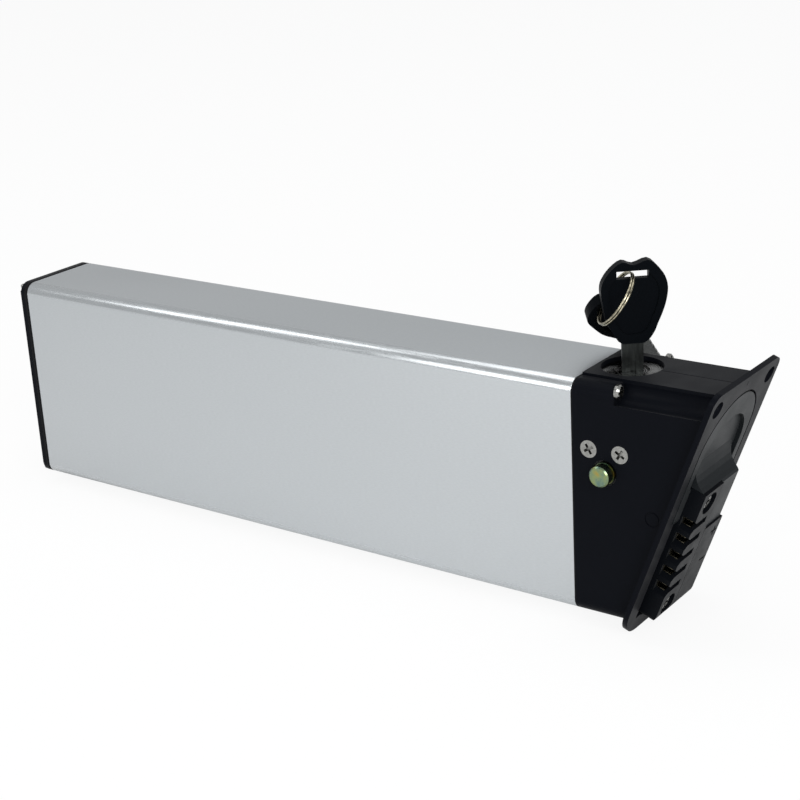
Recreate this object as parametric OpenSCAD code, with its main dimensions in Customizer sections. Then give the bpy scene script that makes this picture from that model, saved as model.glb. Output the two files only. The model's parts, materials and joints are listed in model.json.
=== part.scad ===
// Removable battery for an electric bicycle: square tube, slanted head with lock, latch and terminals.
// Millimetres. x runs along the tube towards the head, z is up, the near side is -y.
// The origin is the middle of the bottom face of the tube.

/* [Tube] */
// Length of the square battery tube
tube_l = 340; // [204:1:510]
// Width of the tube from side to side
tube_w = 52; // [31:1:78]
// Height of the tube
tube_h = 110; // [66:1:165]
// Outer corner radius of the tube
tube_r = 3; // [1.8:0.1:4.5]
// Wall thickness of the tube
tube_t = 2; // [1.2:0.1:3]
// Distance of a corner screw port axis from the side face
port_side = 3.2; // [1.9:0.1:4.9]
// Distance of a corner screw port axis from the top or bottom face
port_edge = 2.5; // [1.5:0.1:3.8]
// Outer radius of a corner screw port
port_r = 2.9; // [1.7:0.1:4.4]
// Shank radius of the corner screws
screw_r = 1.4; // [0.8:0.1:2.1]
// Radial clearance round every screw shank
screw_gap = 0.05; // [0.03:0.01:0.08]

/* [Rear end] */
// Thickness of the sealing gaskets
gasket_t = 0.8; // [0.5:0.05:1.25]
// Inset of the gasket edge from the face of the tube
gasket_in = 0.4; // [0.25:0.05:0.65]
// Thickness of the rim of the rear cap
rim_t = 2.6; // [1.6:0.1:3.9]
// Height of the raised plate on the rear cap
plate_t = 2; // [1.2:0.1:3]
// Inset of the raised plate from the rim of the rear cap
plate_inset = 1.6; // [1:0.1:2.5]
// Length of the spigots that enter the tube
spigot_l = 8; // [5:0.5:12]
// Wall thickness of the spigots
spigot_t = 2; // [1.2:0.1:3]
// Extra room between a spigot and the screw ports
spigot_relief = 0.7; // [0.4:0.05:1.05]
// Clearance between a spigot and the tube
spigot_gap = 0.15; // [0.1:0.05:0.25]
// Length of the rear cap screws
rear_screw_l = 14; // [8.5:0.5:21]
// Head radius of the rear cap screws
rear_head_r = 2.7; // [1.6:0.1:4.1]
// Head height of the rear cap screws
rear_head_h = 1.8; // [1.1:0.1:2.7]

/* [Head] */
// Wall thickness of the head housing
head_t = 2.5; // [1.5:0.1:3.8]
// Thickness of the slanted front wall of the head
front_t = 5; // [3:0.5:7.5]
// Length of the head along its bottom, gasket and flange included
head_bottom_l = 28.04; // [17:1:43]
// Lean of the slanted front from the vertical, in degrees
front_lean = 20.69; // [12:1:32]
// Thickness of the flange of the head
flange_t = 2.5; // [1.5:0.1:3.8]
// Overhang of the flange past each side of the tube
flange_side = 5.8; // [3.5:0.5:9]
// Overhang of the flange below the tube, along the slanted front
flange_low = 7; // [4:0.5:10.5]
// Overhang of the flange above the tube, along the slanted front
flange_high = 5.7; // [3.5:0.5:9]
// Radius of the upper corners of the flange
flange_r = 5.5; // [3.5:0.5:8.5]
// Radius of the lower corners of the flange
flange_low_r = 16; // [9.5:0.5:24]
// Radius of the tool access holes in the flange
access_r = 4; // [2.4:0.1:6]
// Distance of a tool access hole from the side edge of the flange
access_edge = 7; // [4:0.5:10.5]
// Distance of a tool access hole from the top edge of the flange
access_drop = 8; // [5:0.5:12]
// Radius of the open channels along the top corners of the head
channel_r = 6.2; // [3.5:0.5:9.5]
// Distance from the tube to the wall at the back of each channel
channel_start = 21; // [13:1:32]
// Wall thickness below the channels
channel_wall = 1.7; // [1:0.1:2.6]
// Half width of the raised pad on top of the head
pad_half = 17; // [10:0.5:25.5]
// Height of the raised pad above the tube
pad_t = 1.3; // [0.8:0.1:2]
// Length of the two head screws under the head
head_screw_l = 32; // [19:1:48]
// Head radius of the two head screws
head_screw_head_r = 3.2; // [1.9:0.1:4.9]
// Head height of the two head screws
head_screw_head_h = 2.2; // [1.3:0.1:3.3]
// Width of the fine seam line on the pad
seam_w = 0.4; // [0.25:0.05:0.65]
// Depth of the fine seam line on the pad
seam_d = 0.3; // [0.2:0.05:0.45]
// Radius of the round moulding mark on the side of the head
ring_mark_r = 3.25; // [2:0.1:4.9]
// Width of the groove of the round moulding mark
ring_mark_w = 0.5; // [0.3:0.05:0.75]
// Depth of the groove of the round moulding mark
ring_mark_d = 0.3; // [0.2:0.05:0.45]
// Distance of the round moulding mark from the tube
ring_mark_in = 39.1; // [23:1:59]
// Height of the round moulding mark
ring_mark_z = 53.2; // [32:1:80]

/* [Grip] */
// Half width of the grip insert
grip_half = 24; // [14:1:36]
// Groove between the grip insert and the flange
grip_gap = 1; // [0.6:0.1:1.5]
// Top of the grip opening, measured up the slanted front
grip_top = 115; // [69:1:173]
// Lower edge of the grip insert, measured up the slanted front
grip_bottom = 56; // [34:1:84]
// Thickness of the grip insert
grip_t = 3.3; // [2:0.1:5]
// Clearance under inserts that sit in a pocket
seat_gap = 0.1; // [0.05:0.05:0.2]
// Half width of the finger recess
finger_half = 19.5; // [11.5:0.5:29.5]
// Top of the finger recess, measured up the slanted front
finger_top = 103; // [62:1:155]
// Depth of the finger recess
finger_d = 2; // [1.2:0.1:3]
// Upper edge of the grip bar, measured up the slanted front
bar_top = 84; // [50:1:126]
// Crest of the grip bar, measured up the slanted front
bar_crest = 71.8; // [43:1:108]
// Reach of the grip bar and its plateau towards the far side
bar_far = 16; // [9.5:0.5:24]
// Height of the grip bar and its plateau above the flange
bar_h = 6.3; // [4:0.5:9.5]

/* [Terminals] */
// Width of each half of the terminal block
block_half = 17.5; // [10.5:0.5:26.5]
// Lower end of the terminal block, measured up the slanted front
block_low = 1.2; // [0.7:0.1:1.8]
// Upper end of the slotted half at its top surface
comb_top = 72.3; // [43:1:109]
// Upper end of the plain half
cover_top = 46.3; // [28:1:70]
// Height of the terminal block above the flange
block_h = 7.1; // [4.5:0.5:11]
// Depth of the terminal block below the flange surface
block_sink = 1.7; // [1:0.1:2.6]
// Rounding of the lower ends of the terminal block
block_end_r = 4; // [2.4:0.1:6]
// Gap between the two halves of the terminal block
seam_gap = 0.3; // [0.2:0.05:0.45]
// Number of contact slots
slot_n = 5; // [3:0.5:7.5]
// Position of the lowest contact slot, measured up the slanted front
slot_first = 19.5; // [11.5:0.5:29.5]
// Distance from one contact slot to the next
slot_pitch = 8.85; // [5.5:0.5:13.5]
// Width of a contact slot
slot_w = 3.4; // [2:0.1:5.1]
// Length of a contact slot from the open side
slot_end = 12.5; // [7.5:0.5:19]
// Extra width of a contact slot at its mouth, on each side
slot_mouth_w = 1.5; // [0.9:0.1:2.3]
// Length of the widened mouth of a contact slot
slot_mouth_l = 2.4; // [1.4:0.1:3.6]
// Height of the floor of the contact slots above the flange
slot_floor = 0.8; // [0.5:0.05:1.25]
// Width of the pocket beside the slotted half
side_pocket_w = 5; // [3:0.5:7.5]
// Lower end of the pocket beside the slotted half
side_pocket_low = 2; // [1.2:0.1:3]
// Upper end of the pocket beside the slotted half
side_pocket_top = 55; // [33:1:83]
// Depth of the pocket beside the slotted half
side_pocket_d = 3.4; // [2:0.1:5.1]
// Distance of the terminal screws from the middle seam
term_screw_across = 9; // [5.5:0.5:13.5]
// Position of the upper terminal screw, measured up the slanted front
term_screw_top = 65; // [39:1:98]
// Position of the lower terminal screw, measured up the slanted front
term_screw_low = 8.5; // [5:0.5:13]
// Radius of the counterbores of the terminal screws
term_bore_r = 5.5; // [3.5:0.5:8.5]
// Depth of the counterbores of the terminal screws
term_bore_d = 4; // [2.4:0.1:6]
// Head radius of the terminal screws
term_head_r = 4.3; // [2.6:0.1:6.5]
// Head height of the terminal screws
term_head_h = 2.8; // [1.7:0.1:4.2]
// Shank radius of the terminal screws
term_shank_r = 1.7; // [1:0.1:2.6]
// Length of the terminal screws under the head
term_screw_l = 14; // [8.5:0.5:21]
// Sheet thickness of the spring contacts
contact_t = 0.4; // [0.25:0.05:0.65]
// Length of the spring contacts
contact_l = 8.5; // [5:0.5:13]
// Height of the spring contacts
contact_h = 4.2; // [2.5:0.1:6.4]
// Gap between a spring contact and the walls of its slot
contact_gap = 0.1; // [0.05:0.05:0.2]
// Radius of the solder tails of the contacts
tail_r = 1.1; // [0.7:0.1:1.7]
// Length of the solder tails below the flange surface
tail_l = 9; // [5.5:0.5:13.5]
// Radius of the pegs that hold the plain cover
peg_r = 2; // [1.2:0.1:3]
// Radius of the small notch at the lower end of the seam
notch_r = 1.8; // [1.1:0.1:2.7]
// Length of the moulded polarity marks
mark_l = 5; // [3:0.5:7.5]
// Line width of the moulded polarity marks
mark_w = 1.1; // [0.7:0.1:1.7]
// Depth of the moulded polarity marks
mark_d = 0.4; // [0.25:0.05:0.65]
// Distance of the polarity marks from the middle seam
mark_across = 13; // [8:0.5:19.5]
// Position of the upper polarity mark, measured up the slanted front
mark_top = 40; // [24:1:60]
// Position of the lower polarity mark, measured up the slanted front
mark_low = 24; // [14:1:36]
// Distance of a contact from the closed end of its slot
contact_in = 1.5; // [0.9:0.1:2.3]
// Radius of the screw bosses behind the terminal block
term_boss_r = 4.5; // [2.7:0.1:6.8]
// Corner radius of the terminal block
block_r = 3; // [1.8:0.1:4.5]

/* [Lock] */
// Distance from the tube to the lock axis
lock_in = 16; // [9.5:0.5:24]
// Outer radius of the lock bezel
bezel_r = 13.5; // [8:0.5:20.5]
// Thickness of the lock bezel
bezel_t = 1; // [0.6:0.1:1.5]
// Depth of the bezel seat below the top of the pad
bezel_sink = 2.7; // [1.6:0.1:4.1]
// Thickness of the head roof below the bezel seat
lid_t = 3.6; // [2.2:0.1:5.4]
// Clearance round the lock bezel in its seat
bezel_gap = 0.3; // [0.2:0.05:0.45]
// Radius of the hole of the lock bezel
bezel_hole_r = 7.6; // [4.5:0.5:11.5]
// Radius of the lock barrel
barrel_r = 11; // [6.5:0.5:16.5]
// Length of the lock barrel
barrel_l = 22.6; // [14:1:34]
// Clearance round the lock barrel in the head
barrel_gap = 0.2; // [0.1:0.05:0.35]
// Radius of the turning lock core
core_r = 6.42; // [4:0.5:10]
// Radial running clearance of the lock core
core_gap = 0.08; // [0.05:0.01:0.12]
// Height of the lock core above the barrel
core_rise = 0.4; // [0.25:0.05:0.65]
// Radius of the lock nut across its corners
lock_nut_r = 14; // [8.5:0.5:21]
// Height of the lock nut
lock_nut_h = 2.6; // [1.6:0.1:3.9]
// Width of the keyway in the core
keyway_w = 10; // [6:0.5:15]
// Thickness of the keyway in the core
keyway_t = 2.6; // [1.6:0.1:3.9]
// Depth of the keyway in the core
keyway_d = 22.4; // [13:1:34]
// Radius of the hub of the cam under the lock
cam_r = 7; // [4:0.5:10.5]
// Half width of the arm of the cam
cam_arm_half = 3.5; // [2.1:0.1:5.3]
// Thickness of the cam under the lock
cam_t = 3.5; // [2.1:0.1:5.3]
// Clearance between the cam and the barrel
cam_drop = 0.4; // [0.25:0.05:0.65]
// Radius of the core stub that carries the cam
stub_r = 3; // [1.8:0.1:4.5]
// Clearance between the stub and the cam
stub_gap = 0.03; // [0.02:0.01:0.05]
// Distance of the crank pin from the lock axis
crank_r = 11.1; // [6.5:0.5:17]
// Radius of the crank pin
crank_pin_r = 2; // [1.2:0.1:3]
// Length of the crank pin below the cam
crank_pin_l = 3; // [1.8:0.1:4.5]
// Turn of the key from locked to open, in degrees
lock_swing = 45; // [27:1:68]

/* [Latch] */
// Height of the latch pin axis
latch_z = 70.1; // [42:1:106]
// Radius of the latch pin
latch_r = 5; // [3:0.5:7.5]
// Radius of the tip of the latch pin
latch_tip_r = 4.8; // [2.9:0.1:7.2]
// Distance of the step of the latch pin from the side of the head
latch_step = 0.2; // [0.1:0.05:0.35]
// Reach of the locked latch pin past the side of the head
latch_out = 5.3; // [3:0.5:8]
// Radial gap between the latch pin and the wall of the head
latch_hole_gap = 1; // [0.6:0.1:1.5]
// Radial running clearance of the latch pin in its guide
latch_run_gap = 0.06; // [0.04:0.01:0.09]
// Edge chamfer at the tip of the latch pin
latch_chamfer = 0.6; // [0.35:0.05:0.9]
// Thickness of the latch guide block
guide_t = 10; // [6:0.5:15]
// Half length of the latch guide block
guide_half = 12; // [7:0.5:18]
// Reach of the guide block below the pin axis
guide_low = 10; // [6:0.5:15]
// Reach of the guide block above the pin axis
guide_high = 14; // [8.5:0.5:21]
// Gap between pieces of one group that lie side by side
part_gap = 0.2; // [0.1:0.05:0.35]
// Gap between the guide block and the locked carriage
carriage_gap = 0.8; // [0.5:0.05:1.25]
// Half length of the carriage body
carriage_half = 8; // [5:0.5:12]
// Thickness of the carriage body along the pin
carriage_t = 15.5; // [9.5:0.5:23.5]
// Reach of the carriage below the pin axis
carriage_low = 6; // [3.5:0.5:9]
// Thickness of the slotted carriage plate
carriage_plate_t = 3; // [1.8:0.1:4.5]
// Length of the slotted plate along the pin
carriage_plate_l = 18.5; // [11:0.5:28]
// Reach of the slotted carriage plate past the pin axis
carriage_plate_reach = 16.5; // [10:0.5:25]
// Clearance between the cam and the carriage plate
carriage_clear = 0.5; // [0.3:0.05:0.75]
// Clearance of the crank pin in the slot of the carriage
crank_gap = 0.3; // [0.2:0.05:0.45]
// Free run of the crank pin at each end of the carriage slot
slot_run = 0.8; // [0.5:0.05:1.25]
// Radius of the rear rod of the latch pin
rod_r = 3; // [1.8:0.1:4.5]
// Length of the rear rod of the latch pin
rod_l = 27; // [16:1:41]
// Outer radius of the latch clip
clip_r = 5; // [3:0.5:7.5]
// Thickness of the latch clip
clip_t = 0.8; // [0.5:0.05:1.25]
// Radius of the rear guide boss in the head
rear_boss_r = 6; // [3.5:0.5:9]
// Length of the rear guide boss in the head
rear_boss_l = 10; // [6:0.5:15]
// Shank radius of the latch guide screws
latch_screw_r = 1.95; // [1.2:0.1:3]
// Head radius of the latch guide screws
latch_screw_head_r = 4; // [2.4:0.1:6]
// Head height of the latch guide screws
latch_screw_head_h = 1.9; // [1.1:0.1:2.9]
// Length of the latch guide screws
latch_screw_l = 10; // [6:0.5:15]
// Height of the latch guide screws
latch_screw_z = 80; // [48:1:120]
// Half the distance between the latch guide screws
latch_screw_half = 7.65; // [4.5:0.5:11.5]
// Turn of the cross recesses of the latch guide screws from the diagonal, in degrees
latch_screw_turn = 14; // [8.5:0.5:21]
// Width of the cross recess in the screws
cross_w = 1.2; // [0.7:0.1:1.8]
// Length of the cross recess in the screws
cross_l = 5; // [3:0.5:7.5]
// Depth of the cross recess in the screws
cross_d = 1.4; // [0.8:0.1:2.1]

/* [Keys] */
// Direction of the key plane in the locked position, in degrees
key_turn_set = 40; // [24:1:60]
// Width of the key blade
blade_w = 9.4; // [5.5:0.5:14.5]
// Thickness of the key blade
blade_t = 2.2; // [1.3:0.1:3.3]
// Clearance below the tip of the key blade in the core
blade_tip = 1; // [0.6:0.1:1.5]
// Width of the groove along the key blade
blade_groove_w = 2.2; // [1.3:0.1:3.3]
// Depth of the groove along the key blade
blade_groove_d = 0.5; // [0.3:0.05:0.75]
// Depth of the key cuts
blade_cut_d = 1.1; // [0.7:0.1:1.7]
// Length of the tang inside the bow
tang_l = 14; // [8.5:0.5:21]
// Clearance round the tang inside the bow
tang_gap = 0.04; // [0.02:0.01:0.06]
// Thickness of the key bow at its rim
bow_t = 5; // [3:0.5:7.5]
// Depth of the recessed panel of the bow
bow_panel_d = 0.8; // [0.5:0.05:1.25]
// Size of the recessed panel as a share of the bow
bow_panel_share = 0.76; // [0.45:0.05:1.15]
// Distance from the ring slot to the lower end of the bow
bow_drop = 30.7; // [18:1:47]
// Height of the ring slot above the top of the pad
bow_rise = 41.6; // [25:1:63]
// Width of the ring slot in the bow
ring_slot_w = 14; // [8.5:0.5:21]
// Height of the ring slot in the bow
ring_slot_h = 3.6; // [2.2:0.1:5.4]
// Radius of the ring wire
wire_r = 0.5; // [0.3:0.05:0.75]
// Gap between the two turns of the ring
wire_gap = 0.02; // [0.01:0.01:0.03]
// Mean radius of the split ring
ring_r = 12.6; // [7.5:0.5:19]
// Lean of the split ring from the vertical, in degrees
ring_lean = 33.5; // [20:1:51]

/* [Spare key] */
// Place of the spare key slot along the tube from the lock axis
spare_across = -11.71; // [-18:0.5:-7]
// Place of the spare key slot towards the back from the lock axis
spare_back = 3.422; // [2.1:0.1:5.2]
// Drop of the spare key slot below the slot of the first key
spare_drop = 14.742; // [9:0.5:22.5]
// First turn of the spare key about the tube direction, in degrees
spare_rx = 44.08; // [26:1:67]
// Second turn of the spare key about the width direction, in degrees
spare_ry = -21.77; // [-33:1:-13]
// Third turn of the spare key about the upright, in degrees
spare_rz = 28.24; // [17:1:43]

/* [Cells] */
// Radius of one cell
cell_r = 9.1; // [5.5:0.5:14]
// Length of one cell
cell_l = 65; // [39:1:98]
// Number of cells stacked in height
cell_rows = 5; // [3:0.5:7.5]
// Number of cells side by side
cell_cols = 2; // [1.2:0.1:3]
// Number of cell groups along the tube
cell_groups = 4; // [2.4:0.1:6]
// Distance between neighbouring cell axes
cell_pitch = 19.4; // [11.5:0.5:29.5]
// Distance from one cell group to the next
group_pitch = 68; // [41:1:102]
// Distance from the rear end of the tube to the first cell group
pack_start = 9.5; // [5.5:0.5:14.5]
// Radius of the raised pole of a cell
cell_cap_r = 3; // [1.8:0.1:4.5]
// Height of the raised pole of a cell
cell_cap_h = 0.2; // [0.1:0.05:0.35]
// Thickness of a cell holder
holder_t = 8; // [5:0.5:12]
// Half width of a cell holder
holder_half_y = 20; // [12:1:30]
// Half height of a cell holder
holder_half_z = 49.4; // [30:1:75]
// Clearance of a cell in its holder
holder_gap = 0.05; // [0.03:0.01:0.08]
// Width of a nickel strip
strip_w = 7; // [4:0.5:10.5]
// Thickness of a nickel strip
strip_t = 0.3; // [0.2:0.05:0.45]
// Gap between a cell end and the outer face of its strip
strip_gap = 0.25; // [0.15:0.05:0.4]
// Thickness of an insulating card between two groups
card_t = 1.2; // [0.7:0.1:1.8]
// Half width of the insulating sleeve
sleeve_half_y = 20.6; // [12:1:31]
// Half height of the insulating sleeve
sleeve_half_z = 50; // [30:1:75]
// Thickness of the insulating sleeve
sleeve_t = 0.4; // [0.25:0.05:0.65]
// Thickness of a foam pad
pad_foam_t = 3; // [1.8:0.1:4.5]
// Height of a foam pad
pad_foam_h = 84; // [50:1:126]
// Length of a foam pad
pad_foam_l = 250; // [150:1:375]

/* [Electronics] */
// Thickness of the management board
board_t = 1.6; // [1:0.1:2.5]
// Length of the management board
board_l = 44; // [26:1:66]
// Height of the management board
board_h = 84; // [50:1:126]
// Distance of the board from the middle plane
board_y = 8; // [5:0.5:12]
// Distance of the board from the middle of the tube
board_start = 118; // [71:1:177]
// Thickness of the board tray
tray_t = 1.5; // [0.9:0.1:2.3]
// Radius of the board standoffs
standoff_r = 2.5; // [1.5:0.1:3.8]
// Length of the board standoffs
standoff_l = 12.5; // [7.5:0.5:19]
// Length of the heat sink on the board
sink_l = 30; // [18:1:45]
// Height of the heat sink on the board
sink_h = 26; // [16:1:39]
// Thickness of the heat sink on the board
sink_t = 8; // [5:0.5:12]
// Length of a power transistor on the board
chip_l = 9; // [5.5:0.5:13.5]
// Height of a power transistor on the board
chip_h = 7; // [4:0.5:10.5]
// Thickness of a power transistor on the board
chip_t = 3.4; // [2:0.1:5.1]
// Radius of a capacitor on the board
cap_r = 4; // [2.4:0.1:6]
// Length of a capacitor on the board
cap_l = 12; // [7:0.5:18]
// Radius of a power lead
lead_r = 1; // [0.6:0.1:1.5]
// Length of the straight start of a power lead at the board
lead_bend = 14; // [8.5:0.5:21]

/* [Hidden] */
$fn = 64;
over = 2;
tiny = 0.01;
port_y = tube_w / 2 - port_side;
port_z = tube_h / 2 - port_edge;
rear_x = -tube_l / 2 - gasket_t;
rear_face_x = rear_x - rim_t - plate_t;
head_x = tube_l / 2 + gasket_t;
head_reach = head_bottom_l + tube_h / 2;
cut_reach = 2 * tube_h;
spigot_w = tube_w - 2 * tube_t - 2 * spigot_gap;
spigot_h = tube_h - 2 * port_edge - 2 * port_r - 2 * spigot_gap - spigot_relief;
front_x = tube_l / 2 + head_bottom_l;
flange_half = tube_w / 2 + flange_side;
flange_top = tube_h / cos(front_lean) + flange_high;
access_y = flange_half - access_edge;
access_s = flange_top - access_drop;
channel_z = tube_h - port_edge;
hollow_y = tube_w / 2 - head_t;
hollow_top = tube_h + pad_t - bezel_sink - lid_t;
lock_x = tube_l / 2 + lock_in;
bezel_z = tube_h + pad_t - bezel_sink;
core_top = bezel_z + core_rise;
core_low = bezel_z - barrel_l - cam_drop;
cam_low = core_low - cam_t;
guide_y = -tube_w / 2 + head_t + seat_gap;
carriage_y = guide_y + guide_t + carriage_gap;
carriage_plate_z = cam_low - carriage_clear - carriage_plate_t;
latch_tip_y = -tube_w / 2 - latch_out;
latch_step_y = -tube_w / 2 - latch_step;
rear_boss_y = tube_w / 2 - head_t - rear_boss_l;
crank_slot_y = -crank_r * sin(lock_swing / 2);
crank_slot_half = crank_pin_r + crank_gap;
crank_slot_x0 = lock_x + crank_r * cos(lock_swing / 2) - crank_pin_r - slot_run;
crank_slot_x1 = lock_x + crank_r + crank_pin_r + slot_run;
grip_pocket_low = grip_bottom - seat_gap;
bar_run = bar_top - bar_crest;
bar_rise = bar_h + finger_d;
bar_low = cover_top + seam_gap;
contact_y = block_half - slot_end + contact_in + contact_l / 2;
contact_w = slot_w - 2 * contact_gap;
half_w = block_half - seam_gap / 2;
term_screw_reach = term_screw_l - block_h + term_bore_d;
term_boss_d = term_screw_reach + term_shank_r;
ring_mark_x = tube_l / 2 + ring_mark_in;
bow_z = tube_h + pad_t + bow_rise;
blade_l = bow_z - bow_drop - core_top + keyway_d - blade_tip;
pack_x = -tube_l / 2 + pack_start;
pack_l = cell_groups * group_pitch;
board_z = (tube_h - board_h) / 2;
curve_steps = 3;
pan_share = 0.55;
pan_top_share = 0.72;
tang_share = 0.8;
bead_share = 1.2;
tang_half = blade_w / 2 * tang_share;
tang_t = blade_t * tang_share;
groove_share = 0.75;
cut_share = 0.14;
fin_share = 0.75;
panel_drop_share = 0.095;
// Slope of the grip bar: shares of its run and of its rise
bar_up_shares = [[0.24, 0.1], [0.5, 0.23], [0.68, 0.41], [0.83, 0.68], [0.92, 0.89]];
// Rounded lower end of the terminal block: shares of its rounding
end_shares = [[0, 0.75], [0.1, 0.45], [0.3, 0.2], [0.6, 0.05], [1, 0]];
// Outline of the key bow as shares of the drop below the ring slot
bow_shares = [
    [0.013, 0.140], [0.221, 0.202], [0.365, 0.085], [0.453, -0.039], [0.495, -0.202], [0.472,
    -0.397], [0.417, -0.573], [0.355, -0.717], [0.290, -0.866], [0.156, -0.997], [-0.153,
    -0.997], [-0.283, -0.840], [-0.375, -0.658], [-0.423, -0.430], [-0.450, -0.215], [-0.417,
    -0.072], [-0.300, 0.085], [-0.143, 0.189]
];

// Outline shared by the tube and its end parts: width along y, height along z
module face_outline(w, h, r) {
    square([w - 2 * r, h], center = true);
    square([w, h - 2 * r], center = true);
    for (sy = [-1, 1]) {
        for (sz = [-1, 1]) {
            translate([sy * (w / 2 - r), sz * (h / 2 - r)]) circle(r = r);
        }
    }
}

// Stands a drawing of width and height up and extrudes it along the tube
module along_x(x0, l) {
    translate([x0, 0, tube_h / 2]) rotate([90, 0, 90]) linear_extrude(height = l) children();
}

// Places children at the four corner screw ports of a width and height drawing
module at_ports() {
    for (sy = [-1, 1]) {
        for (sz = [-1, 1]) {
            translate([sy * port_y, sz * port_z]) children();
        }
    }
}

// Frame of the slanted front: x runs up the front, y to the near side, z outwards
module on_front() {
    translate([front_x, 0, 0]) rotate([180, front_lean - 90, 0]) children();
}

// Rounded plate drawn on the slanted front
module front_plate(s0, s1, half, r_low, r_high) {
    translate([s0 + r_low, -half]) square([s1 - r_high - s0 - r_low, 2 * half]);
    translate([s0, r_low - half]) square([r_low + tiny, 2 * (half - r_low)]);
    translate([s1 - r_high - tiny, r_high - half]) square([r_high + tiny, 2 * (half - r_high)]);
    for (side = [-1, 1]) {
        translate([s0 + r_low, side * (half - r_low)]) circle(r = r_low);
        translate([s1 - r_high, side * (half - r_high)]) circle(r = r_high);
    }
}

// Arch drawn on the slanted front: straight lower part with a round top
module arch(s0, s1, half) {
    translate([s0, -half]) square([s1 - half - s0, 2 * half]);
    intersection() {
        translate([s1 - half, 0]) circle(r = half);
        translate([s1 - half - tiny, -half]) square([half + 2 * tiny, 2 * half]);
    }
}

// Body of revolution or bar across the width, starting at the given y
module along_y(x, y0, z, l) {
    translate([x, y0, z]) rotate([-90, 0, 0]) linear_extrude(height = l) children();
}

// Cross recess cut into a screw head, centred on its face
module cross_cut() {
    for (q = [0, 90]) {
        rotate([0, 0, q]) translate([-cross_l / 2, -cross_w / 2, -cross_d])
            cube([cross_l, cross_w, cross_d + over]);
    }
}

// Countersunk screw: face in the plane z = 0, shank downwards
module flat_screw(head_r, head_h, shank_r, l) {
    difference() {
        union() {
            translate([0, 0, -head_h]) cylinder(r1 = shank_r, r2 = head_r, h = head_h);
            translate([0, 0, -l]) cylinder(r = shank_r, h = l);
        }
        cross_cut();
    }
}

// Screw with a flat round head: underside of the head in the plane z = 0, shank downwards
module pan_screw(head_r, head_h, shank_r, l) {
    difference() {
        union() {
            cylinder(r = head_r, h = head_h * pan_share);
            translate([0, 0, head_h * pan_share])
                cylinder(r1 = head_r, r2 = head_r * pan_top_share, h = head_h * (1 - pan_share));
            translate([0, 0, -l]) cylinder(r = shank_r, h = l + tiny);
        }
        translate([0, 0, head_h]) cross_cut();
    }
}

// Fixed pieces
module battery_tube() {
    color("silver") along_x(-tube_l / 2, tube_l) difference() {
        face_outline(tube_w, tube_h, tube_r);
        difference() {
            face_outline(tube_w - 2 * tube_t, tube_h - 2 * tube_t, tube_r - tube_t);
            at_ports() circle(r = port_r);
        }
        at_ports() circle(r = screw_r + screw_gap);
    }
}

module gasket_sheet(x0) {
    along_x(x0, gasket_t) difference() {
        face_outline(tube_w - 2 * gasket_in, tube_h - 2 * gasket_in, tube_r);
        difference() {
            square([tube_w - 2 * tube_t, tube_h - 2 * tube_t], center = true);
            at_ports() circle(r = port_r);
        }
        at_ports() circle(r = screw_r + screw_gap);
    }
}

module rear_gasket() {
    color("black") gasket_sheet(-tube_l / 2 - gasket_t);
}

module spigot(x0, l) {
    along_x(x0, l) difference() {
        square([spigot_w, spigot_h], center = true);
        square([spigot_w - 2 * spigot_t, spigot_h - 2 * spigot_t], center = true);
    }
}

module rear_end_cap() {
    color("dimgray") difference() {
        union() {
            along_x(rear_x - rim_t, rim_t) face_outline(tube_w, tube_h, tube_r);
            along_x(rear_x - rim_t - plate_t, plate_t + tiny)
                face_outline(tube_w - 2 * plate_inset, tube_h - 2 * plate_inset, tube_r);
            spigot(rear_x - tiny, spigot_l + gasket_t);
        }
        along_x(rear_x - rim_t - plate_t - over, rim_t + plate_t + 2 * over)
            at_ports() circle(r = screw_r + screw_gap);
        translate([rear_face_x, 0, tube_h / 2]) rotate([90, 0, 90]) at_ports()
            translate([0, 0, -over])
                cylinder(r = rear_head_r + screw_gap, h = rear_head_h + over + screw_gap);
    }
}

module rear_cap_screws() {
    color("gray") translate([rear_face_x + rear_head_h + screw_gap, 0, tube_h / 2]) rotate([90, 0, 90])
        at_ports()
        rotate([180, 0, 0]) pan_screw(rear_head_r, rear_head_h, screw_r, rear_screw_l);
}

module head_gasket() {
    color("black") gasket_sheet(tube_l / 2);
}

// Solid block of the head before hollowing, cut by the slanted front
module head_block() {
    difference() {
        union() {
            along_x(head_x, head_reach) face_outline(tube_w, tube_h, tube_r);
            translate([head_x, -pad_half, tube_h - tube_r])
                cube([head_reach, 2 * pad_half, tube_r + pad_t]);
        }
        on_front() translate([-cut_reach, -tube_w, 0]) cube([2 * cut_reach, 2 * tube_w, cut_reach]);
    }
}

// Hollow inside of the head
module head_hollow() {
    difference() {
        union() {
            translate([head_x + head_t, -hollow_y, head_t])
                cube([head_reach, 2 * hollow_y, hollow_top - head_t]);
            along_x(head_x - over, head_t + 2 * over)
                square([spigot_w - 2 * spigot_t, spigot_h - 2 * spigot_t], center = true);
        }
        on_front() translate([-cut_reach, -tube_w, -front_t]) cube([2 * cut_reach, 2 * tube_w, cut_reach]);
        for (sy = [-1, 1]) {
            translate([head_x - over, sy * port_y, channel_z]) rotate([0, 90, 0])
                cylinder(r = channel_r + channel_wall, h = head_reach);
        }
        along_y(lock_x, rear_boss_y, latch_z, rear_boss_l + head_t) circle(r = rear_boss_r);
        term_bosses();
    }
}

// Screw bosses behind the terminal block
module term_bosses() {
    on_front() at_term_screws() translate([0, 0, -term_boss_d]) cylinder(r = term_boss_r, h = term_boss_d);
}

module at_term_screws() {
    for (s = [term_screw_low, term_screw_top]) {
        translate([s, term_screw_across, 0]) children();
    }
}

module at_slots() {
    for (i = [0 : slot_n - 1]) {
        translate([slot_first + i * slot_pitch, 0, 0]) children();
    }
}

module at_pegs() {
    for (s = [term_screw_low, mark_top]) {
        translate([s, -term_screw_across, 0]) children();
    }
}

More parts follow.
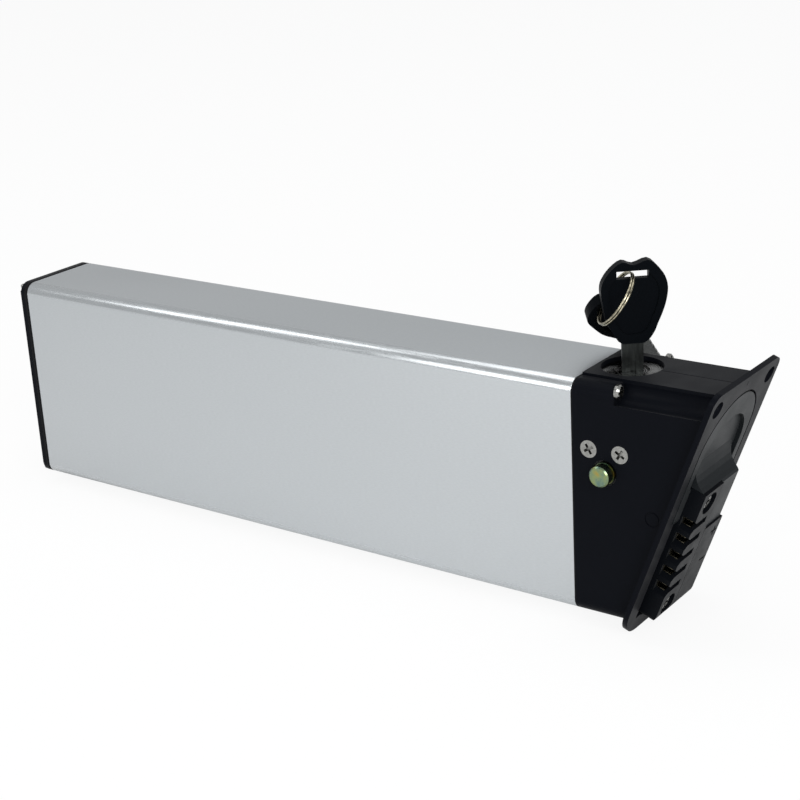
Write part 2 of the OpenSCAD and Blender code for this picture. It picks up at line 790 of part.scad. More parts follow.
module head_housing() {
    color("dimgray") difference() {
        union() {
            head_block();
            on_front() translate([0, 0, -flange_t]) linear_extrude(height = flange_t)
                front_plate(-flange_low, flange_top, flange_half, flange_low_r, flange_r);
            spigot(head_x - spigot_l - gasket_t, spigot_l + gasket_t + tiny);
        }
        head_hollow();
        // open channels along the top corners and their screw holes
        for (sy = [-1, 1]) {
            difference() {
                translate([tube_l / 2 + channel_start, sy * port_y, channel_z]) rotate([0, 90, 0])
                    cylinder(r = channel_r, h = head_reach);
                on_front() translate([-cut_reach, -tube_w, -flange_t])
                    cube([2 * cut_reach, 2 * tube_w, cut_reach]);
            }
            translate([head_x - over, sy * port_y, channel_z]) rotate([0, 90, 0])
                cylinder(r = screw_r + screw_gap, h = channel_start + over);
            on_front() translate([access_s, sy * access_y, -flange_t - over])
                cylinder(r = access_r, h = flange_t + 2 * over);
        }
        // seat and hole of the lock
        translate([lock_x, 0, bezel_z]) cylinder(r = bezel_r + bezel_gap, h = bezel_sink + over);
        translate([lock_x, 0, hollow_top - over]) cylinder(r = barrel_r + barrel_gap, h = lid_t + 2 * over);
        // latch pin hole, guide screws and rear guide bore
        along_y(lock_x, -tube_w / 2 - over, latch_z, head_t + 2 * over)
            circle(r = latch_r + latch_hole_gap);
        along_y(lock_x, rear_boss_y - over, latch_z, rear_boss_l + over) circle(r = rod_r + latch_run_gap);
        at_latch_screws() {
            translate([0, 0, -head_t - over])
                cylinder(r = latch_screw_r + screw_gap, h = head_t + 2 * over);
            translate([0, 0, -latch_screw_head_h - screw_gap])
                cylinder(r1 = latch_screw_r + screw_gap, r2 = latch_screw_head_r + screw_gap,
                    h = latch_screw_head_h + screw_gap);
            translate([0, 0, -screw_gap]) cylinder(r = latch_screw_head_r + screw_gap, h = over);
        }
        // pockets of the grip insert and the terminal block
        on_front() {
            translate([0, 0, -grip_t - seat_gap]) linear_extrude(height = grip_t + over)
                arch(grip_pocket_low, grip_top, grip_half + grip_gap);
            translate([block_low - seat_gap, -block_half - seat_gap, -block_sink - seat_gap])
                cube([comb_top - block_low + 2 * seat_gap, 2 * (block_half + seat_gap), block_sink + over]);
            translate([side_pocket_low, block_half, -side_pocket_d])
                cube([side_pocket_top - side_pocket_low, side_pocket_w, side_pocket_d + over]);
            at_term_screws() translate([0, 0, -term_screw_reach - screw_gap])
                cylinder(r = term_shank_r + screw_gap, h = term_screw_reach + over);
            at_slots() translate([0, contact_y, -front_t - over])
                cylinder(r = tail_r + screw_gap, h = front_t + 2 * over);
            at_pegs() translate([0, 0, -front_t - over])
                cylinder(r = peg_r + screw_gap, h = front_t + 2 * over);
        }
        // round moulding mark and seam line
        along_y(ring_mark_x, -tube_w / 2 - over, ring_mark_z, over + ring_mark_d) difference() {
            circle(r = ring_mark_r + ring_mark_w / 2);
            circle(r = ring_mark_r - ring_mark_w / 2);
        }
        translate([lock_x, -seam_w / 2, tube_h + pad_t - seam_d]) cube([head_reach, seam_w, over]);
    }
}

module head_screws() {
    color("gray") for (sy = [-1, 1]) {
        translate([tube_l / 2 + channel_start + screw_gap, sy * port_y, channel_z]) rotate([0, 90, 0])
            pan_screw(head_screw_head_r, head_screw_head_h, screw_r, head_screw_l);
    }
}

// Section of the grip bar and its plateau: position up the front against height
module bar_section() {
    polygon(concat(
        [[bar_top, -finger_d]],
        [for (q = bar_up_shares) [bar_top - bar_run * q[0], -finger_d + bar_rise * q[1]]],
        [[bar_crest, bar_h]],
        [[bar_low, bar_h], [bar_low, -block_sink], [grip_bottom, -block_sink]],
        [[grip_bottom, -finger_d - tiny], [bar_top, -finger_d - tiny]]
    ));
}

module grip_plate() {
    color("dimgray") on_front() difference() {
        union() {
            difference() {
                translate([0, 0, -grip_t]) linear_extrude(height = grip_t)
                    arch(grip_bottom, grip_top - grip_gap, grip_half);
                translate([0, 0, -finger_d]) linear_extrude(height = finger_d + over)
                    arch(bar_crest, finger_top, finger_half);
            }
            translate([0, block_half, 0]) rotate([90, 0, 0]) linear_extrude(height = block_half + bar_far)
                bar_section();
        }
        translate([block_low, -seam_gap, -grip_t - over])
            cube([comb_top - block_low + seam_gap, block_half + 2 * seam_gap, grip_t + block_h + 2 * over]);
    }
}

// One half of the terminal block, from y0 outwards, with a rounded lower end
module half_block(s0, s1, y0) {
    intersection() {
        translate([0, y0 + half_w, 0]) rotate([90, 0, 0]) linear_extrude(height = half_w)
            polygon(concat(
                [[s0, -block_sink]],
                [for (q = end_shares) [s0 + block_end_r * q[0], block_h - block_end_r * q[1]]],
                [[s1, block_h], [s1, -block_sink]]
            ));
        translate([0, 0, -block_sink]) linear_extrude(height = block_sink + block_h)
            translate([(s0 + s1 + block_r) / 2, y0 + half_w / 2])
                face_outline(s1 + block_r - s0, half_w, block_r);
    }
}

// Widened mouth of a contact slot, seen from above
module slot_mouth() {
    polygon([
        [-slot_w / 2, -slot_mouth_l],
        [slot_w / 2, -slot_mouth_l],
        [slot_w / 2 + slot_mouth_w, 0],
        [slot_w / 2 + slot_mouth_w, over],
        [-slot_w / 2 - slot_mouth_w, over],
        [-slot_w / 2 - slot_mouth_w, 0]
    ]);
}

module connector_block() {
    color("dimgray") on_front() difference() {
        half_block(block_low, comb_top, seam_gap / 2);
        at_slots() {
            translate([-slot_w / 2, block_half - slot_end, slot_floor])
                cube([slot_w, slot_end + over, block_h]);
            translate([0, block_half, slot_floor]) linear_extrude(height = block_h) slot_mouth();
        }
        at_slots() translate([0, contact_y, -block_sink - over])
            cylinder(r = tail_r + screw_gap, h = block_sink + slot_floor + 2 * over);
        at_term_screws() {
            translate([0, 0, block_h - term_bore_d]) cylinder(r = term_bore_r, h = term_bore_d + over);
            translate([0, 0, -block_sink - over])
                cylinder(r = term_shank_r + screw_gap, h = block_sink + block_h);
        }
        translate([block_low, 0, block_h - notch_r]) cylinder(r = notch_r, h = notch_r + over);
    }
}

module terminal_cover() {
    color("dimgray") on_front() {
        difference() {
            half_block(block_low, cover_top, -block_half);
            translate([block_low, 0, block_h - notch_r]) cylinder(r = notch_r, h = notch_r + over);
            for (q = [0, 90]) {
                translate([mark_top, -mark_across, block_h - mark_d]) rotate([0, 0, q])
                    translate([-mark_l / 2, -mark_w / 2, 0]) cube([mark_l, mark_w, over]);
            }
            translate([mark_low - mark_w / 2, -mark_across - mark_l / 2, block_h - mark_d])
                cube([mark_w, mark_l, over]);
        }
        at_pegs() translate([0, 0, -front_t]) cylinder(r = peg_r, h = front_t);
    }
}

module connector_contacts() {
    color("goldenrod") on_front() at_slots() {
        translate([-contact_w / 2, contact_y - contact_l / 2, slot_floor + screw_gap]) difference() {
            cube([contact_w, contact_l, contact_h]);
            translate([contact_t, -over, contact_t])
                cube([contact_w - 2 * contact_t, contact_l + 2 * over, contact_h]);
        }
        translate([0, contact_y, -tail_l]) cylinder(r = tail_r, h = tail_l + slot_floor + contact_t);
    }
}

module connector_screws() {
    color("silver") on_front() at_term_screws() translate([0, 0, block_h - term_bore_d + screw_gap])
        pan_screw(term_head_r, term_head_h, term_shank_r, term_screw_l);
}

// Places children at the latch guide screws, z outwards from the near side
module at_latch_screws() {
    for (sx = [-1, 1]) {
        translate([lock_x + sx * latch_screw_half, -tube_w / 2, latch_screw_z]) rotate([90, 0, 0])
            rotate([0, 0, 45 + sx * latch_screw_turn]) children();
    }
}

module latch_screws() {
    color("silver") at_latch_screws()
        flat_screw(latch_screw_head_r, latch_screw_head_h, latch_screw_r, latch_screw_l);
}

module latch_guide() {
    color("dimgray") difference() {
        translate([lock_x - guide_half, guide_y, latch_z - guide_low])
            cube([2 * guide_half, guide_t, guide_low + guide_high]);
        along_y(lock_x, guide_y - over, latch_z, guide_t + 2 * over) circle(r = latch_r + latch_run_gap);
        at_latch_screws() translate([0, 0, -latch_screw_l - screw_gap])
            cylinder(r = latch_screw_r + screw_gap, h = latch_screw_l);
    }
}

module lock_bezel() {
    color("silver") difference() {
        translate([lock_x, 0, bezel_z]) union() {
            cylinder(r = bezel_r, h = bezel_t / 2);
            translate([0, 0, bezel_t / 2])
                cylinder(r1 = bezel_r, r2 = bezel_r - bezel_t / 2, h = bezel_t / 2);
        }
        translate([lock_x, 0, bezel_z - over]) cylinder(r = bezel_hole_r, h = bezel_t + 2 * over);
    }
}

module lock_body() {
    color("silver") difference() {
        translate([lock_x, 0, bezel_z - barrel_l]) cylinder(r = barrel_r, h = barrel_l);
        translate([lock_x, 0, bezel_z - barrel_l - over])
            cylinder(r = core_r + core_gap, h = barrel_l + 2 * over);
    }
}

module lock_nut() {
    color("gray") difference() {
        translate([lock_x, 0, hollow_top - lock_nut_h - screw_gap]) rotate([0, 0, 30])
            cylinder(r = lock_nut_r, h = lock_nut_h, $fn = 6);
        translate([lock_x, 0, hollow_top - lock_nut_h - over])
            cylinder(r = barrel_r + screw_gap, h = lock_nut_h + 2 * over);
    }
}

// Turning lock core
module lock_core() {
    color("silver") translate([lock_x, 0, 0]) difference() {
        union() {
            translate([0, 0, core_low]) cylinder(r = core_r, h = core_top - core_low);
            translate([0, 0, cam_low]) cylinder(r = stub_r, h = core_low - cam_low + tiny);
        }
        rotate([0, 0, key_turn_set]) translate([-keyway_w / 2, -keyway_t / 2, core_top - keyway_d])
            cube([keyway_w, keyway_t, keyway_d + over]);
    }
}

module lock_cam() {
    color("gray") translate([lock_x, 0, 0]) {
        difference() {
            union() {
                translate([0, 0, cam_low]) cylinder(r = cam_r, h = cam_t);
                rotate([0, 0, -lock_swing / 2]) {
                    translate([0, -cam_arm_half, cam_low]) cube([crank_r, 2 * cam_arm_half, cam_t]);
                    translate([crank_r, 0, cam_low]) cylinder(r = cam_arm_half, h = cam_t);
                }
            }
            translate([0, 0, cam_low - over]) cylinder(r = stub_r + stub_gap, h = cam_t + 2 * over);
        }
        rotate([0, 0, -lock_swing / 2]) translate([crank_r, 0, cam_low - crank_pin_l])
            cylinder(r = crank_pin_r, h = crank_pin_l + tiny);
    }
}

// Sliding latch
module latch_pin() {
    color("goldenrod") {
        along_y(lock_x, latch_step_y, latch_z, carriage_y - latch_step_y) circle(r = latch_r);
        along_y(lock_x, latch_tip_y + latch_chamfer, latch_z,
            latch_step_y - latch_tip_y - latch_chamfer + tiny)
            circle(r = latch_tip_r);
        translate([lock_x, latch_tip_y, latch_z]) rotate([-90, 0, 0])
            cylinder(r1 = latch_tip_r - latch_chamfer, r2 = latch_tip_r, h = latch_chamfer + tiny);
        along_y(lock_x, carriage_y - tiny, latch_z, rod_l) circle(r = rod_r);
    }
}

module latch_carriage() {
    color("gray") difference() {
        union() {
            translate([lock_x - carriage_half, carriage_y + screw_gap, latch_z - carriage_low])
                cube([2 * carriage_half, carriage_t, carriage_plate_z - latch_z + carriage_low + tiny]);
            translate([lock_x - carriage_half, carriage_y + screw_gap, carriage_plate_z])
                cube([carriage_half + carriage_plate_reach, carriage_plate_l, carriage_plate_t]);
        }
        along_y(lock_x, carriage_y - over, latch_z, carriage_t + 2 * over) circle(r = rod_r + screw_gap);
        translate([crank_slot_x0, crank_slot_y - crank_slot_half, carriage_plate_z])
            cube([crank_slot_x1 - crank_slot_x0, 2 * crank_slot_half, carriage_plate_t + over]);
    }
}

module latch_clip() {
    color("gray") along_y(lock_x, carriage_y + carriage_t + 2 * screw_gap, latch_z, clip_t) difference() {
        circle(r = clip_r);
        circle(r = rod_r + stub_gap);
    }
}

// Keys and ring
function curve(p0, p1, p2, p3, t) = ((2 * p1) + (p2 - p0) * t + (2 * p0 - 5 * p1 + 4 * p2 - p3) * t * t
    + (3 * p1 - p0 - 3 * p2 + p3) * t * t * t) / 2;
function bow_points() = let (p = bow_shares, n = len(p)) [
    for (i = [0 : n - 1]) for (k = [0 : curve_steps - 1])
        curve(p[(i + n - 1) % n], p[i], p[(i + 1) % n], p[(i + 2) % n], k / curve_steps) * bow_drop
];

// Key frame: origin in the ring slot, x across the bow, y through it, z away from the blade
module key_bow_shape() {
    difference() {
        translate([0, bow_t / 2, 0]) rotate([90, 0, 0]) linear_extrude(height = bow_t)
            polygon(bow_points());
        for (side = [0, 180]) {
            rotate([0, 0, side]) translate([0, -bow_t / 2 + bow_panel_d, 0]) rotate([90, 0, 0])
                linear_extrude(height = bow_panel_d + over)
                translate([0, -bow_drop * panel_drop_share]) scale(bow_panel_share)
                    polygon(bow_points_turned(side));
        }
        translate([-ring_slot_w / 2, -bow_t, -ring_slot_h / 2]) cube([ring_slot_w, 2 * bow_t, ring_slot_h]);
        translate([-bow_drop, -bow_t, -2 * bow_drop + tiny]) cube([2 * bow_drop, 2 * bow_t, bow_drop]);
        translate([-tang_half - tang_gap, -tang_t / 2 - tang_gap, -bow_drop - over])
            cube([2 * (tang_half + tang_gap), tang_t + 2 * tang_gap, tang_l + over + tang_gap]);
    }
}
function bow_points_turned(side) = [for (p = bow_points()) [side == 0 ? p[0] : -p[0], p[1]]];

module key_blade_shape() {
    difference() {
        union() {
            translate([-blade_w / 2, -blade_t / 2, -bow_drop - blade_l]) cube([blade_w, blade_t, blade_l]);
            translate([-tang_half, -tang_t / 2, -bow_drop - tiny]) cube([2 * tang_half, tang_t, tang_l]);
        }
        for (side = [0, 180]) {
            rotate([0, 0, side])
                translate([-blade_groove_w / 2, blade_t / 2 - blade_groove_d, -bow_drop - blade_l - over])
                cube([blade_groove_w, over, blade_l * groove_share + over]);
            rotate([0, 0, side]) for (i = [1 : 4]) {
                translate([blade_w / 2, 0, -bow_drop - blade_l + i * blade_l * cut_share])
                    rotate([0, 45, 0])
                    cube([blade_cut_d, 2 * blade_t, blade_cut_d], center = true);
            }
            rotate([0, 0, side]) translate([blade_w / 2, 0, -bow_drop - blade_l]) rotate([0, 45, 0])
                cube([blade_cut_d * 2, 2 * blade_t, blade_cut_d * 2], center = true);
        }
    }
}

module at_key() {
    translate([lock_x, 0, bow_z]) rotate([0, 0, key_turn_set]) children();
}

module at_spare() {
    translate([lock_x + spare_across, spare_back, bow_z - spare_drop])
        rotate([spare_rx, spare_ry, spare_rz]) children();
}

module key_blade() {
    color("silver") at_key() key_blade_shape();
}

module key_bow() {
    color("dimgray") at_key() key_bow_shape();
}

module key_ring() {
    color("silver") at_key() rotate([0, ring_lean, 0]) translate([0, 0, -ring_r]) rotate([0, 90, 0])
        for (side = [-1, 1]) {
            translate([0, 0, side * (wire_r + wire_gap / 2)]) rotate_extrude() translate([ring_r, 0])
                circle(r = wire_r);
        }
}

module spare_key_blade() {
    color("silver") at_spare() key_blade_shape();
}

module spare_key_bow() {
    color("dimgray") at_spare() key_bow_shape();
}

// Cells and electronics
module at_cells() {
    for (iy = [0 : cell_cols - 1]) {
        for (iz = [0 : cell_rows - 1]) {
            translate([(iy - (cell_cols - 1) / 2) * cell_pitch, (iz - (cell_rows - 1) / 2) * cell_pitch])
                children();
        }
    }
}

module each_group() {
    for (g = [0 : cell_groups - 1]) {
        translate([pack_x + g * group_pitch, 0, tube_h / 2]) rotate([90, 0, 90]) children();
    }
}

module cell_pack() {
    color("steelblue") each_group() at_cells() {
        cylinder(r = cell_r, h = cell_l - cell_cap_h);
        translate([0, 0, cell_l - cell_cap_h - tiny]) cylinder(r = cell_cap_r, h = cell_cap_h + tiny);
    }
}

module cell_holders() {
    color("black") each_group() for (z0 = [0, cell_l - holder_t]) {
        translate([0, 0, z0]) linear_extrude(height = holder_t) difference() {
            square([2 * holder_half_y, 2 * holder_half_z], center = true);
            at_cells() circle(r = cell_r + holder_gap);
        }
    }
}

module nickel_strips() {
    color("silver") each_group() for (z0 = [-strip_t - seat_gap, cell_l + seat_gap]) {
        translate([0, 0, z0]) linear_extrude(height = strip_t) {
            for (iy = [0 : cell_cols - 1]) {
                translate([(iy - (cell_cols - 1) / 2) * cell_pitch, 0])
                    square([strip_w, (cell_rows - 1) * cell_pitch + strip_w], center = true);
            }
            for (iz = [0 : cell_rows - 1]) {
                translate([0, (iz - (cell_rows - 1) / 2) * cell_pitch])
                    square([(cell_cols - 1) * cell_pitch, strip_w], center = true);
            }
        }
    }
}

module group_cards() {
    color("tan") for (g = [1 : cell_groups - 1]) {
        translate([pack_x + g * group_pitch - (group_pitch - cell_l) / 2 - card_t / 2, -holder_half_y,
            tube_h / 2 - holder_half_z])
            cube([card_t, 2 * holder_half_y, 2 * holder_half_z]);
    }
}

module pack_sleeve() {
    color("tan") translate([pack_x, 0, tube_h / 2]) rotate([90, 0, 90]) linear_extrude(height = pack_l)
        difference() {
        square([2 * sleeve_half_y, 2 * sleeve_half_z], center = true);
        square([2 * (sleeve_half_y - sleeve_t), 2 * (sleeve_half_z - sleeve_t)], center = true);
    }
}

module foam_pads() {
    color("gray") for (sy = [-1, 1]) {
        translate([pack_x + (pack_l - pad_foam_l) / 2,
            sy * (sleeve_half_y + seat_gap + pad_foam_t / 2) - pad_foam_t / 2, (tube_h - pad_foam_h) / 2])
            cube([pad_foam_l, pad_foam_t, pad_foam_h]);
    }
}

module bms_tray() {
    color("black") {
        translate([board_start, board_y + board_t + standoff_l, board_z]) cube([board_l, tray_t, board_h]);
        for (cx = [board_start + 2 * standoff_r, board_start + board_l - 2 * standoff_r]) {
            for (cz = [board_z + 2 * standoff_r, board_z + board_h - 2 * standoff_r]) {
                along_y(cx, board_y + board_t, cz, standoff_l + tiny) circle(r = standoff_r);
            }
        }
    }
}

module bms_board() {
    color("green") translate([board_start, board_y, board_z]) cube([board_l, board_t, board_h]);
}

module bms_parts() {
    color("silver") {
        translate([board_start + (board_l - sink_l) / 2, board_y - sink_t,
            board_z + board_h - sink_h - chip_h]) difference() {
            cube([sink_l, sink_t, sink_h]);
            for (i = [1 : 4]) {
                translate([i * sink_l / 5 - chip_t / 2, -over, -over])
                    cube([chip_t, sink_t * fin_share + over, sink_h + 2 * over]);
            }
        }
        for (i = [0 : 2]) {
            translate([board_start + chip_t + i * (chip_l + chip_t / 2), board_y - chip_t,
                board_z + board_h / 2 - chip_h]) cube([chip_l, chip_t, chip_h]);
        }
        for (i = [0 : 2]) {
            along_y(board_start + 2 * cap_r + i * 3 * cap_r, board_y - cap_l, board_z + 2 * cap_r, cap_l)
                circle(r = cap_r);
        }
    }
}

// Point on the slanted front in the common frame
function front_point(s, y, h) = [
    front_x + s * sin(front_lean) + h * cos(front_lean), -y, s * cos(front_lean) - h * sin(front_lean)
];

// Straight round wire between two points
module wire(p, q) {
    d = q - p;
    l = norm(d);
    translate(p) rotate([0, acos(d[2] / l), atan2(d[1], d[0])]) cylinder(r = lead_r, h = l);
}

module power_leads() {
    color("firebrick") for (i = [0 : slot_n - 1]) {
        a = front_point(slot_first + i * slot_pitch, contact_y, -tail_l - lead_r / 2 - seat_gap);
        b = [board_start + board_l + lead_bend, a[1], a[2]];
        c = [board_start + board_l - lead_r, board_y - lead_r - seat_gap, board_z + (2 * i + 4) * cap_r];
        wire(a, b);
        translate(b) rotate([0, 90, 0]) sphere(r = lead_r * bead_share);
        wire(b, c);
    }
}

battery_tube();
rear_gasket();
rear_end_cap();
rear_cap_screws();
head_gasket();
head_housing();
head_screws();
grip_plate();
connector_block();
terminal_cover();
connector_contacts();
connector_screws();
latch_screws();
latch_guide();
lock_bezel();
lock_body();
lock_nut();
lock_core();
lock_cam();
latch_pin();
latch_carriage();
latch_clip();
key_blade();
key_bow();
key_ring();
spare_key_blade();
spare_key_bow();
cell_pack();
cell_holders();
nickel_strips();
group_cards();
pack_sleeve();
foam_pads();
bms_tray();
bms_board();
bms_parts();
power_leads();
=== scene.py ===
"""Looks of a removable e-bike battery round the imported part: materials, wider corners, edges, floor, light, camera."""

import json
import math

import bmesh
import bpy
from mathutils import Matrix, Vector


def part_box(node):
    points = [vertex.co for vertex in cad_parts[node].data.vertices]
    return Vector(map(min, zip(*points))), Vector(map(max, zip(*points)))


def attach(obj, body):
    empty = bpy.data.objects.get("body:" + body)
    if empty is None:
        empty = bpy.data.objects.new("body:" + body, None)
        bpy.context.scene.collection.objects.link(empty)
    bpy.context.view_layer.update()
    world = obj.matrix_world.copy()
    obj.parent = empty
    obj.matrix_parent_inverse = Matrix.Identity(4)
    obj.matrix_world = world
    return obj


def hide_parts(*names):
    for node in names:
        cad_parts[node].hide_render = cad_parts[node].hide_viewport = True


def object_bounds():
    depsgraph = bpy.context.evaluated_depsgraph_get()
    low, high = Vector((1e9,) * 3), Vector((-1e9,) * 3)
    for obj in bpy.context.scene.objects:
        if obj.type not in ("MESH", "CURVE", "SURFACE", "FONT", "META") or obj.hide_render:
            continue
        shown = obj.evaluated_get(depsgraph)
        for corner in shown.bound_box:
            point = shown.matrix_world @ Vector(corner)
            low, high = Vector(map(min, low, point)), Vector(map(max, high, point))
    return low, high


MM = 0.001

# Camera solved from the photograph: direction, roll, place and focal length
CAMERA_AZIMUTH = math.radians(36.841)
CAMERA_ELEVATION = math.radians(20.004)
CAMERA_ROLL = math.radians(-3.279)
CAMERA_PLACE = (0.5327, -0.6324, 0.3615)
SENSOR_WIDTH = 36.0
FOCAL_LENGTH = 78.32
CAMERA_REACH = 20

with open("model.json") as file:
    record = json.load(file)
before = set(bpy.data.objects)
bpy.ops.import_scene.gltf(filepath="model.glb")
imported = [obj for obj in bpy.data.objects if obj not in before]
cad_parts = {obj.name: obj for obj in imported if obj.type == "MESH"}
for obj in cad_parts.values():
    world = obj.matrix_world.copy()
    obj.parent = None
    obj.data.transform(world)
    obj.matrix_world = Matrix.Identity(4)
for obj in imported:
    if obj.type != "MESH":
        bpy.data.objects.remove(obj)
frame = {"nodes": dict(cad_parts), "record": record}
cad_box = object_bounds()
nodes = frame["nodes"]
record = frame["record"]
SLOT_OF = {part["node"]: part["material_slot"] for part in record["subparts"]}

# The CAD has sharper section corners than the photograph shows. Pieces of this scene round them wider.
CORNER = 6.0 * MM
TUBE_WALL = 2.0 * MM
SMALLEST_RADIUS = 0.2 * MM
ROUND_STEPS = 10
tube_low, tube_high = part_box("battery_tube")
HALF_WIDTH = tube_high[1]
SECTION_LOW, SECTION_HIGH = tube_low[2], tube_high[2]


# Materials: noise between these values spans a ramp or a range
NOISE_LOW, NOISE_HIGH = 0.3, 0.7
FINE_DETAIL, WIDE_DETAIL = 3.0, 2.0
SMOOTHEST = 0.02
SHEEN_ROUGHNESS = 0.35
# Samples of the painted shade that darkens the colour in recesses
RECESS_SHADE_SAMPLES = 8
# Bands that the wave texture makes in one unit at scale 1
WAVE_BANDS = 3.2
# Streaks that run along the polished corners, in millimetres, and the roughness that they give
STREAK_SIZE = 0.9
STREAK_STRETCH = (0.06, 1, 1)
POLISHED, POLISH_SPREAD = 0.08, 0.36


def socket(node, name, value):
    node.inputs[name].default_value = value


def math_node(tree, operation, first, second):
    """Result of an operation on two numbers or outputs."""
    node = tree.nodes.new("ShaderNodeMath")
    node.operation = operation
    for i, value in enumerate((first, second)):
        if isinstance(value, (int, float)):
            node.inputs[i].default_value = value
        else:
            tree.links.new(value, node.inputs[i])
    return node.outputs[0]


def noise_of(tree, place, size_mm, detail, stretch):
    """Noise in the object's own space, with its grain size in millimetres."""
    mapping = tree.nodes.new("ShaderNodeMapping")
    socket(mapping, "Scale", stretch)
    noise = tree.nodes.new("ShaderNodeTexNoise")
    socket(noise, "Scale", 1 / (size_mm * MM))
    socket(noise, "Detail", detail)
    tree.links.new(place.outputs["Object"], mapping.inputs["Vector"])
    tree.links.new(mapping.outputs["Vector"], noise.inputs["Vector"])
    return noise.outputs["Fac"]


def coloured(tree, noise, colours):
    """Colours spread evenly over the noise, from its low to its high spots."""
    ramp = tree.nodes.new("ShaderNodeValToRGB")
    stops = ramp.color_ramp.elements
    stops[0].position, stops[1].position = NOISE_LOW, NOISE_HIGH
    stops[0].color, stops[1].color = (*colours[0], 1), (*colours[-1], 1)
    for i, colour in enumerate(colours[1:-1], 1):
        stops.new(NOISE_LOW + (NOISE_HIGH - NOISE_LOW) * i / (len(colours) - 1)).color = (*colour, 1)
    tree.links.new(noise, ramp.inputs["Fac"])
    return ramp.outputs["Color"]


def painted_recess_shade(tree, tint, width_mm):
    """The tint with painted shade: darker in recesses up to that many millimetres wide."""
    hollow = tree.nodes.new("ShaderNodeAmbientOcclusion")
    hollow.samples = RECESS_SHADE_SAMPLES
    socket(hollow, "Distance", width_mm * MM)
    tree.links.new(tint, hollow.inputs["Color"])
    return hollow.outputs["Color"]


def patchy_gloss(tree, noise, roughness, spread):
    """Roughness that the noise varies by the spread to both sides."""
    rough = tree.nodes.new("ShaderNodeMapRange")
    socket(rough, "From Min", NOISE_LOW)
    socket(rough, "From Max", NOISE_HIGH)
    socket(rough, "To Min", max(SMOOTHEST, roughness - spread))
    socket(rough, "To Max", min(1, roughness + spread))
    tree.links.new(noise, rough.inputs["Value"])
    return rough.outputs["Result"]


def burnished(tree, place, gloss, half, low, high):
    """Roughness that falls where a point lies beyond half in y and beyond low or high in z: the rounded corners."""
    split = tree.nodes.new("ShaderNodeSeparateXYZ")
    tree.links.new(place.outputs["Object"], split.inputs["Vector"])
    beside = math_node(tree, "GREATER_THAN", math_node(tree, "ABSOLUTE", split.outputs["Y"], 0.0), half)
    above = math_node(tree, "GREATER_THAN", split.outputs["Z"], high)
    below = math_node(tree, "LESS_THAN", split.outputs["Z"], low)
    corner = math_node(tree, "MULTIPLY", beside, math_node(tree, "MAXIMUM", above, below))
    streaks = noise_of(tree, place, STREAK_SIZE, 4.0, STREAK_STRETCH)
    polished = math_node(tree, "ADD", math_node(tree, "MULTIPLY", streaks, POLISH_SPREAD), POLISHED)
    kept = math_node(tree, "MULTIPLY", gloss, math_node(tree, "SUBTRACT", 1.0, corner))
    return math_node(tree, "ADD", kept, math_node(tree, "MULTIPLY", polished, corner))


def turning_marks(tree, place, x, y, pitch):
    """Rings round an upright axis, all in millimetres."""
    shift = tree.nodes.new("ShaderNodeMapping")
    socket(shift, "Location", (-x * MM, -y * MM, 0))
    wave = tree.nodes.new("ShaderNodeTexWave")
    wave.wave_type, wave.rings_direction = "RINGS", "Z"
    socket(wave, "Scale", 1 / (pitch * MM * WAVE_BANDS))
    socket(wave, "Distortion", 0.6)
    socket(wave, "Detail", 2.0)
    tree.links.new(place.outputs["Object"], shift.inputs["Vector"])
    tree.links.new(shift.outputs["Vector"], wave.inputs["Vector"])
    return wave.outputs["Fac"]


def grained(
    name,
    colours,
    roughness,
    metallic=0.0,
    level=0.5,
    sheen=0.0,
    grain=0.6,
    stretch=(1, 1, 1),
    bump=0.1,
    depth=0.03,
    patch=12.0,
    patchy=0.05,
    tinted="grain",
    rings=None,
    recess_shade=0.0,
    burnish=None,
):
    """Procedural material: a fine grain for colour and bump, and wide patches for gloss.

    colours run from the noise's low to its high spots, where tinted says whether the grain or the patches are that
    noise. grain, depth and patch are in millimetres, and patchy is the change in roughness. rings gives (x, y, pitch)
    of turning marks, which then take the grain's place in the bump. The recess shade width paints shade into the
    colour of recesses up to that many millimetres wide. burnish gives (half width, low, high) in metres of a section
    whose corners beyond them are smoother.
    """
    material = bpy.data.materials.new(name)
    material.use_nodes = True
    tree = material.node_tree
    shader = tree.nodes["Principled BSDF"]
    socket(shader, "Metallic", metallic)
    socket(shader, "Specular IOR Level", level)
    socket(shader, "Sheen Weight", sheen)
    socket(shader, "Sheen Roughness", SHEEN_ROUGHNESS)
    place = tree.nodes.new("ShaderNodeTexCoord")
    fine = noise_of(tree, place, grain, FINE_DETAIL, stretch)
    wide = noise_of(tree, place, patch, WIDE_DETAIL, stretch)
    tint = coloured(tree, fine if tinted == "grain" else wide, colours)
    # Painted shade: the colour darkens in recesses
    if recess_shade:
        tint = painted_recess_shade(tree, tint, recess_shade)
    gloss = patchy_gloss(tree, wide, roughness, patchy)
    if burnish:
        gloss = burnished(tree, place, gloss, *burnish)
    lumps = tree.nodes.new("ShaderNodeBump")
    socket(lumps, "Strength", bump)
    socket(lumps, "Distance", depth * MM)
    tree.links.new(turning_marks(tree, place, *rings) if rings else fine, lumps.inputs["Height"])
    tree.links.new(tint, shader.inputs["Base Color"])
    tree.links.new(gloss, shader.inputs["Roughness"])
    tree.links.new(lumps.outputs["Normal"], shader.inputs["Normal"])
    return material


def shades(colour, spread):
    """The colour a share darker and a share brighter."""
    return [tuple(min(1, c * f) for c in colour) for f in (1 - spread, 1 + spread)]


# Upright axis of the lock, in millimetres
LOCK_X, LOCK_Y = 186.0, 0.0
# The corners are polished from this far inside the section's sides
BURNISH_INSET = 5.4 * MM
BURNISH = (HALF_WIDTH - BURNISH_INSET, SECTION_LOW + BURNISH_INSET, SECTION_HIGH - BURNISH_INSET)
MOULDED = {"sheen": 0.06, "grain": 0.45, "bump": 0.22, "depth": 0.04, "patch": 14}
ZINC_TINTS = [(0.13, 0.20, 0.17), (0.18, 0.25, 0.16), (0.24, 0.29, 0.13), (0.36, 0.27, 0.07)]
